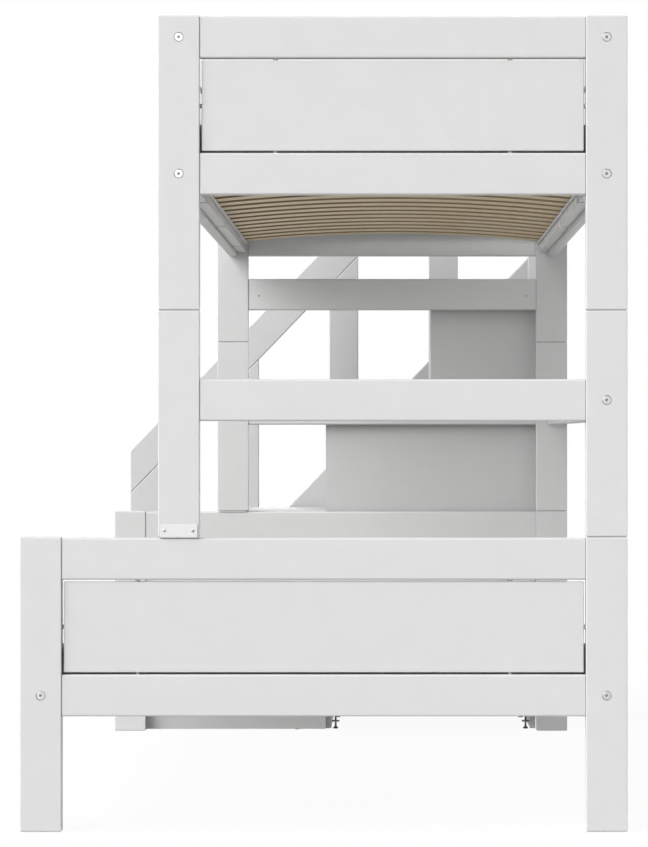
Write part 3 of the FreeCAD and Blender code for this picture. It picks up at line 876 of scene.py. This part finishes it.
def add_floor_board(shape, solid):
    round_edges(shape, add_box(shape, solid.low, solid.high), CHEST_ROUND)
    return UNIT[solid.axis]


dress("cabinet_floor", "_painted", panel_lacquer, add_floor_board, holes)
print("floor holes:", len(feet), "of", round(2000 * (stem + STEM_PLAY), 1), "mm")

# %% [markdown]
# ## Bent slats
# A slat is glued from thin beech veneers in a curved press, so it rises in the middle and gives
# under load. Its long sides are rounded and sawn and show the veneers as fine lines. They are
# painted dark, partly the sawn wood's own tone and partly painted shade, the shade that falls on
# the sides between the slats: here "edge" is 1 on the whole side. The cross-section is carried
# along the curve, and the "grain" value is measured in the bent slat itself, so that fibres and
# veneers follow the bend.

# %% Beech
WOOD_BOUNCE = (0.3, 0.29, 0.27)
# Colour of the sawn slat sides: their own tone darkened with painted shade.
SAWN_SIDE_AND_SHADE = (0.17, 0.115, 0.06)
VENEER = 0.0014
WOOD_POLISH = 0.08
WOOD_RELIEF = 0.0001


def wood(name, pale, dark, fleck, roughness, veneer=0.0):
    """Bare wood: fibres, broad streaks, short flecks and, in glued slats, veneered edges painted dark, partly
    their own tone and partly painted shade.
    """
    finish, tree, shader = new_finish(name)
    fibres = use_group(tree, grain_group, Fibre_Size=0.0016, Stretch=34.0)
    flecks = use_group(tree, grain_group, Fibre_Size=0.0011, Stretch=5.0)
    rub = use_group(tree, rub_group, Patch_Size=0.04, Amount=WOOD_POLISH)
    body = mix_colours(tree, spread(tree, fibres["Streak"], 0.0, 1.0), pale, dark)
    fibrous = mix_colours(tree, spread(tree, fibres["Fibre"], 0.0, 0.45), body, dark)
    dots = remap(tree, flecks["Fibre"], (0.6, 0.7), (0.0, 0.55))
    colour = mix_colours(tree, dots, fibrous, fleck)
    if veneer:
        place = add_node(tree, "Attribute", attribute_name="grain").outputs["Vector"]
        deep = add_node(tree, "SeparateXYZ", {0: place}).outputs[2]
        wave = maths(tree, "SINE", maths(tree, "MULTIPLY", deep, math.pi / veneer))
        line = remap(tree, wave, (0.75, 1.0), (0.0, 0.5))
        cut_side_and_shade = add_node(tree, "Attribute", attribute_name="edge").outputs["Fac"]
        # The sawn sides are painted dark: their own tone and painted shade, as between the slats.
        colour = mix_colours(tree, cut_side_and_shade, colour, SAWN_SIDE_AND_SHADE)
        colour = mix_colours(tree, line, colour, fleck)
    tree.links.new(calm_bounce(tree, colour, WOOD_BOUNCE), shader["Base Color"])
    polished = maths(tree, "SUBTRACT", spread(tree, fibres["Fibre"], *roughness), rub["Rub"])
    surface(tree, shader, polished, fibres["Fibre"], strength=0.6, relief=WOOD_RELIEF)
    return finish


slat_beech = wood("slat_beech", pale=(0.82, 0.70, 0.47), dark=(0.715, 0.57, 0.36),
                  fleck=(0.42, 0.28, 0.15), roughness=(0.44, 0.58), veneer=VENEER)
print("finish:", slat_beech.name)

# %% Slats
SLAT_ROUND = 0.0024
SLAT_SIDE = 0.95 * SLAT_ROUND
SLAT_STATIONS = 22


def add_slat(shape, solid):
    """Adds one bent slat with its own grain and sides."""
    grain = shape.verts.layers.float_vector["grain"]
    edge = shape.verts.layers.float["edge"]
    low, high = solid.low, solid.high
    ends = [point.z for point in solid.points if point.x < low.x + TINY]
    thick = max(ends) - min(ends)
    crown = high.z - max(ends)
    half = (high.x - low.x) / 2
    middle = (low + high) / 2
    section = rounded_section(high.y - low.y, thick, SLAT_ROUND)
    rings = []
    for station in range(SLAT_STATIONS + 1):
        run = 2 * station / SLAT_STATIONS - 1
        centre_z = min(ends) + thick / 2 + crown * (1 - run * run)
        tilt = math.atan2(-2 * crown * run, half)
        if station in (0, SLAT_STATIONS):
            tilt = 0
        ring = []
        for across, up, _ in section:
            corner = shape.verts.new((middle.x + half * run - up * math.sin(tilt), middle.y + across,
                                      centre_z + up * math.cos(tilt)))
            corner[grain] = (middle.x + half * run + solid.number * GRAIN_STEP, across, up)
            # The whole sawn side is marked, and the finish paints it dark, partly with painted shade.
            corner[edge] = 1.0 if abs(across) > (high.y - low.y) / 2 - SLAT_SIDE else 0.0
            ring.append(corner)
        rings.append(ring)
    join_rings(shape, rings)


for node in ("lower_slats", "upper_slats"):
    dress(node, "_bent", slat_beech, add_slat)
    print(node, len(solids_of(node)))

# %% [markdown]
# ## The slat frames
# Each base is a loose frame: grooved rails that hold the slat ends, and a board that stands on them at
# either end. They are copied from the frame, groove and all, eased, and lacquered like the bed.

# %% Slat frames
FRAME_ROUND = 0.0007

for node in ("lower_slat_frame", "upper_slat_frame"):
    dress(node, "_painted", board_lacquer, eased_copy(FRAME_ROUND))
    print(node, len(solids_of(node)), "boards")

# %% [markdown]
# ## Dowels
# The end panels hang on short fluted beech dowels, which are seen as small pegs in the gaps, and the
# handrail sits on more of them. The flutes let glue out when the dowel is driven in. They are an
# outline with twelve waves.

# %% Dowels
DOWEL_CHAMFER = 0.001
FLUTES, FLUTE_DEPTH = 12, 0.04

dowel_beech = wood("dowel_beech", pale=(0.84, 0.80, 0.74), dark=(0.76, 0.71, 0.64),
                   fleck=(0.60, 0.53, 0.45), roughness=(0.49, 0.63))
fluted = ridged(FLUTES, FLUTE_DEPTH)


def add_dowel(shape, solid):
    pin = read_pin(solid)
    radius, length = pin.head, pin.length
    profile = [(0, 0), (radius - DOWEL_CHAMFER, 0), (radius, DOWEL_CHAMFER, fluted),
               (radius, length - DOWEL_CHAMFER, fluted), (radius - DOWEL_CHAMFER, length), (0, length)]
    add_turned(shape, profile, pin.face, pin.inward, FINE_STEPS)
    return pin.inward


dress("dowels", "_fluted", dowel_beech, add_dowel)
print("dowels:", len(solids_of("dowels")))

# %% [markdown]
# ## Steel fittings
# The bolts, screws and pins are zinc-plated steel. Plating isn't a mirror: it has a fine haze with
# slightly duller clouds, so the roughness wanders and a very fine relief breaks up reflections.
# Sockets and grooves are painted darker: painted shade in the hollows, with some dust and grease.

# %% Zinc
# The dark colour painted into sockets and grooves: painted shade with some grime.
SHADE_AND_GRIME = (0.03, 0.03, 0.03)
PLATED = {"metallic": 1.0, "grit": 0.0006, "strength": 0.25, "relief": 0.00003}


def hard_skin(name, colour, dull, roughness, metallic, grit, strength, relief):
    """Metal or plastic: hazy clouds in colour and gloss, a fine grit in relief, painted shade and grime at
    the edge marks.
    """
    finish, tree, shader = new_finish(name)
    shader["Metallic"].default_value = metallic
    skin = use_group(tree, skin_group, Dimple_Size=grit)
    clouded = mix_colours(tree, spread(tree, skin["Cloud"], 0.0, 1.0), colour, dull)
    # Painted shade with some grime: where "edge" is marked, in sockets and grooves, the colour turns dark.
    shade_and_grime = add_node(tree, "Attribute", attribute_name="edge").outputs["Fac"]
    tree.links.new(mix_colours(tree, shade_and_grime, clouded, SHADE_AND_GRIME), shader["Base Color"])
    surface(tree, shader, spread(tree, skin["Dimple"], *roughness), skin["Dimple"], strength, relief)
    return finish


zinc = hard_skin("zinc_plate", colour=(0.58, 0.59, 0.60), dull=(0.50, 0.51, 0.52),
                 roughness=(0.26, 0.42), **PLATED)
frame["nodes"]["post_pins"].data.materials.clear()
frame["nodes"]["post_pins"].data.materials.append(zinc)
print("finish:", zinc.name)

# %% Bed bolts
SOCKET = 0.003
SOCKET_DEPTH = 0.006
HEAD_EASE = 0.0008
SUNK = 0.0004
GROOVE = 0.0012
# How much painted shade, with some grime, darkens the groove round the head.
GROOVE_SHADE_AND_GRIME = 0.3


def hexagon(angle, height):
    """The share of a corner's radius that a hexagon has at an angle."""
    return math.cos(math.pi / 6) / math.cos((angle % (math.pi / 3)) - math.pi / 6)


def add_bolt(shape, solid):
    face, inward, head, shank, thick, length, _ = read_pin(solid)
    disc = head - GROOVE
    # The socket's edge values paint shade into it, and the groove's paint shade into the ring round the head.
    profile = [(0, SOCKET_DEPTH, None, 1.0), (SOCKET, SOCKET_DEPTH, hexagon, 1.0),
               (SOCKET, SUNK + HEAD_EASE / 3, hexagon, 1.0), (SOCKET + HEAD_EASE / 3, SUNK),
               (disc - HEAD_EASE / 3, SUNK), (disc, SUNK + HEAD_EASE / 2, None, GROOVE_SHADE_AND_GRIME),
               (head, SUNK + HEAD_EASE, None, GROOVE_SHADE_AND_GRIME), (head, thick), (shank, thick),
               (shank, length - HEAD_EASE), (shank - HEAD_EASE, length), (0, length)]
    add_turned(shape, profile, face, inward)


dress("bed_bolts", "_turned", zinc, add_bolt)
print("bolts:", len(bolts))

# %% [markdown]
# ## Screws
# Two kinds share a node: round-headed screws with a cross slot hold the post shoes and the stair
# support rail, and headless set screws lock the pins between stacked posts. The cross is an
# outline with four lobes that goes down into the head. A set screw has a small hexagon socket at
# the end that faces into the bed.

# %% Screws
CROSS_DEPTH = 0.001
# How much painted shade, with some grime, darkens the cross slots.
CROSS_SHADE_AND_GRIME = 0.6
CROSS_WAIST = 0.36
CROSS_FOOT, CROSS_MOUTH, CROSS_RIM = 0.45, 0.68, 0.0001
HEAD_ARC = ((0.75, 0.1), (0.9, 0.35), (1.0, 0.8), (1.0, 1.0))
SET_SOCKET, SET_MOUTH = 0.6, 0.7
SET_EASE = 0.0004


def cross(angle, height):
    """Four arms: the full radius along them and about a third of it between."""
    return CROSS_WAIST + (1 - CROSS_WAIST) * abs(math.cos(2 * angle)) ** 3


bed_middle_y = (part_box("lower_near_post_left")[1].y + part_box("lower_far_post_left")[0].y) / 2


def add_screw(shape, solid):
    face, inward, head, shank, thick, length, plain = read_pin(solid)
    if plain:
        other = face + inward * length
        if abs(other.y - bed_middle_y) < abs(face.y - bed_middle_y):
            face, inward = other, -inward
        # The socket's edge value paints shade into it.
        profile = [(0, CROSS_DEPTH, None, 1.0), (head * SET_SOCKET, CROSS_DEPTH, hexagon, 1.0),
                   (head * SET_SOCKET, SET_EASE / 2, hexagon, 1.0), (head * SET_MOUTH, 0),
                   (head - SET_EASE, 0), (head, SET_EASE), (head, length), (0, length)]
    else:
        # The cross slot's edge value paints shade into it.
        profile = [(0, CROSS_DEPTH, None, CROSS_SHADE_AND_GRIME), (head * CROSS_FOOT, CROSS_DEPTH, cross, CROSS_SHADE_AND_GRIME),
                   (head * CROSS_MOUTH, CROSS_RIM, cross, CROSS_SHADE_AND_GRIME)]
        profile += [(head * wide, thick * deep) for wide, deep in HEAD_ARC]
        profile += [(shank, thick), (shank, length - shank), (0, length)]
    add_turned(shape, profile, face, inward, FINE_STEPS)


dress("screws", "_turned", zinc, add_screw)
print("screws:", len(solids_of("screws")))

# %% [markdown]
# ## Post shoes
# Two posts of the upper part don't stand on another post but on a rail. A shoe folded from white
# steel sheet lies under each and goes up its outer face, where two screws hold it. It is one
# L-shaped profile with a rounded fold, pulled along, with its upper corners rounded off.

# %% Shoes
FOLD = 0.003
SHOE_CORNER = 0.005
SHOE_STEPS = 5

shoe_enamel = paint("shoe_enamel", colour=(0.82, 0.82, 0.82), shade=(0.80, 0.80, 0.80),
                    roughness=(0.35, 0.45), skin_share=1.0, relief=0.00005)


def quarter(centre, radius, inward, steps=4):
    """Points of a quarter circle as (y, z), from the upright side down to the level one."""
    angles = [math.pi / 2 * step / steps for step in range(steps + 1)]
    return [(centre[0] - inward * radius * math.cos(angle), centre[1] - radius * math.sin(angle))
            for angle in angles]


def add_shoe(shape, solid):
    low, high = solid.low, solid.high
    sheet = min(point.z for point in solid.points if point.z > low.z + TINY) - low.z
    plate_y = [point.y for point in solid.points if point.z > high.z - TINY]
    at_low = min(plate_y) < low.y + TINY
    face, end, inward = (low.y, high.y, 1) if at_low else (high.y, low.y, -1)
    fold = (face + inward * FOLD, low.z + FOLD)
    outer = [(face, high.z)] + quarter(fold, FOLD, inward) + [(end, low.z)]
    inner = [(end, low.z + sheet)] + quarter(fold, FOLD - sheet, inward)[::-1]
    ring = outer + inner + [(face + inward * sheet, high.z)]
    caps = [[shape.verts.new((x, y, z)) for y, z in ring] for x in (low.x, high.x)]
    join_rings(shape, caps)
    corners = [edge for cap in caps for corner in cap for edge in corner.link_edges
               if runs_along(edge, 1) and corner.co.z > high.z - TINY]
    round_edges(shape, set(corners), SHOE_CORNER, SHOE_STEPS)


dress("post_shoes", "_folded", shoe_enamel, add_shoe)
print("shoes:", len(solids_of("post_shoes")))

# %% [markdown]
# ## Levelling feet
# Under the tall part of the chest stand four screw feet: a plastic pad that stays on the floor, and
# a threaded stem with a knurled wheel that is turned by hand to level the chest. The thread is
# an outline whose radius runs up with the angle, a true screw line, so that turning shows. Moulded
# plastic has the same kind of skin as plating, with clouds and grit, so one finish serves both.

# %% Feet
PITCH = 0.001
THREAD_DEPTH = 0.14
ROWS_PER_TURN = 4
THREAD_STEPS = 96
KNURLS, KNURL_DEPTH = 24, 0.05
HUB_SHARE, WELL_SHARE = 0.52, 0.28
NECK_SHARE, TIP_SHARE = 0.66, 0.7
PAD_EASE, WHEEL_EASE = 0.0006, 0.0005
MOULDED = {"metallic": 0.0, "grit": 0.0005, "strength": 0.4, "relief": 0.00005}


def threaded(angle, height):
    turn = (height / PITCH - angle / math.tau) % 1
    return 1 - THREAD_DEPTH * abs(2 * turn - 1)


knurled = ridged(KNURLS, KNURL_DEPTH)
foot_plastic = hard_skin("foot_plastic", colour=(0.035, 0.035, 0.037), dull=(0.06, 0.06, 0.06),
                         roughness=(0.42, 0.6), **MOULDED)
foot_zinc = hard_skin("foot_zinc", colour=(0.16, 0.16, 0.17), dull=(0.11, 0.11, 0.115),
                      roughness=(0.28, 0.44), **PLATED)


def stand_of(solid):
    """An upright turned solid's place on the floor, the heights where it changes, and its reach."""
    place = Vector(((solid.low.x + solid.high.x) / 2, (solid.low.y + solid.high.y) / 2, 0))
    reach = max((point.xy - place.xy).length for point in solid.points)
    return place, sorted({round(point.z, 5) for point in solid.points}), reach


def add_pad(shape, solid):
    place, levels, rim = stand_of(solid)
    bottom, disc, top = levels[0], levels[-2], levels[-1]
    hub, well = rim * HUB_SHARE, rim * WELL_SHARE
    profile = [(0, bottom), (rim - PAD_EASE, bottom), (rim, bottom + PAD_EASE), (rim, disc - PAD_EASE),
               (rim - PAD_EASE, disc), (hub, disc + PAD_EASE), (hub, top - PAD_EASE), (hub - PAD_EASE, top),
               (well, top), (well, disc), (0, disc)]
    add_turned(shape, profile, place, UNIT[2], FINE_STEPS)


def add_foot_screw(shape, solid):
    place, levels, rim = stand_of(solid)
    bottom, shoulder, wheel_low, wheel_high, top = levels
    neck = stem * NECK_SHARE
    start, run = wheel_high + WHEEL_EASE, top - wheel_high - 2 * WHEEL_EASE
    rows = int(run / (PITCH / ROWS_PER_TURN))
    profile = [(0, bottom), (neck, bottom), (neck, shoulder), (stem, shoulder), (stem, wheel_low),
               (rim - WHEEL_EASE, wheel_low), (rim, wheel_low + WHEEL_EASE, knurled),
               (rim, wheel_high - WHEEL_EASE, knurled), (rim - WHEEL_EASE, wheel_high), (stem, wheel_high)]
    profile += [(stem, start + run * row / rows, threaded) for row in range(rows + 1)]
    profile += [(stem * TIP_SHARE, top), (0, top)]
    add_turned(shape, profile, place, UNIT[2], THREAD_STEPS)


for number in feet:
    dress("foot_pad_%d" % number, "_moulded", foot_plastic, add_pad)
    dress("foot_screw_%d" % number, "_threaded", foot_zinc, add_foot_screw)
print("feet:", len(feet), "thread pitch", PITCH * 1000, "mm")

# %% [markdown]
# ## Glides
# The low part of the chest stands on four nail-on glides, flat plastic domes that let it slide over
# the floor without scratching it.

# %% Glides
DOME = ((0.0, 0.0), (0.5, 0.04), (0.8, 0.25), (0.95, 0.55), (1.0, 0.85), (1.0, 1.0), (0.0, 1.0))


def add_glide(shape, solid):
    place, levels, rim = stand_of(solid)
    bottom, top = levels[0], levels[-1]
    profile = [(rim * wide, bottom + (top - bottom) * tall) for wide, tall in DOME]
    add_turned(shape, profile, place, UNIT[2])


dress("glides", "_moulded", foot_plastic, add_glide)
print("glides:", len(solids_of("glides")))

# %% [markdown]
# ## The end
# Every piece was measured off the frame, so the box of the dressed bed should agree
# with the box of the frame.

# %% The end
import json
